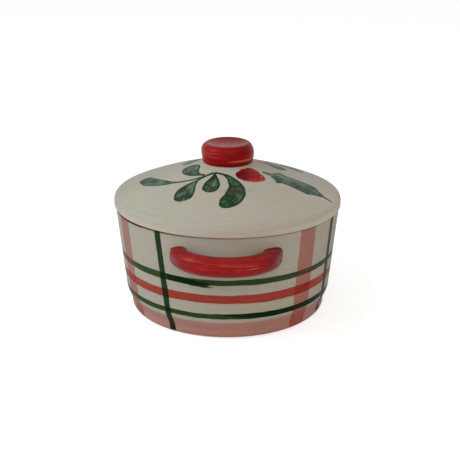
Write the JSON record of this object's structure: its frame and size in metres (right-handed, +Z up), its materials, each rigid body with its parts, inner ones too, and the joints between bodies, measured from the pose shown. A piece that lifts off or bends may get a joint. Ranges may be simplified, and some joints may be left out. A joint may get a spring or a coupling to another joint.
{
  "type": "covered baking dish",
  "caption": "Round stoneware baking dish with tapered wall, loop handles on opposite sides, and a domed lift-off lid with a round knob.",
  "frame": {"origin": "on the table, under the middle of the dish", "axes": "+Z up along the axis of dish and lid, +Y through the rear handle, -Y through the front handle, +X to the right of someone who faces the front handle"},
  "size_m": [0.1652, 0.2064, 0.1216],
  "materials": {
    "dish_glaze": "cream stoneware under a clear satin gloss glaze, brushed with crossing green, coral and pink bands",
    "handle_glaze": "red underglaze in visible brush strokes under a clear satin gloss glaze",
    "lid_glaze": "cream stoneware under a clear satin gloss glaze, brushed with green leaves and red berries",
    "knob_glaze": "red underglaze in visible brush strokes under a clear satin gloss glaze"
  },
  "bodies": {
    "dish": {"dish_body": "dish_glaze", "handle_front": "handle_glaze", "handle_rear": "handle_glaze"},
    "lid": {"lid_plate": "lid_glaze", "lid_knob": "knob_glaze"}
  },
  "joints": [
    {"name": "lid_lift", "type": "slide", "parent": "dish", "child": "lid", "axis": [0, 0, 1], "range_m": [0, 0.12]}
  ]
}
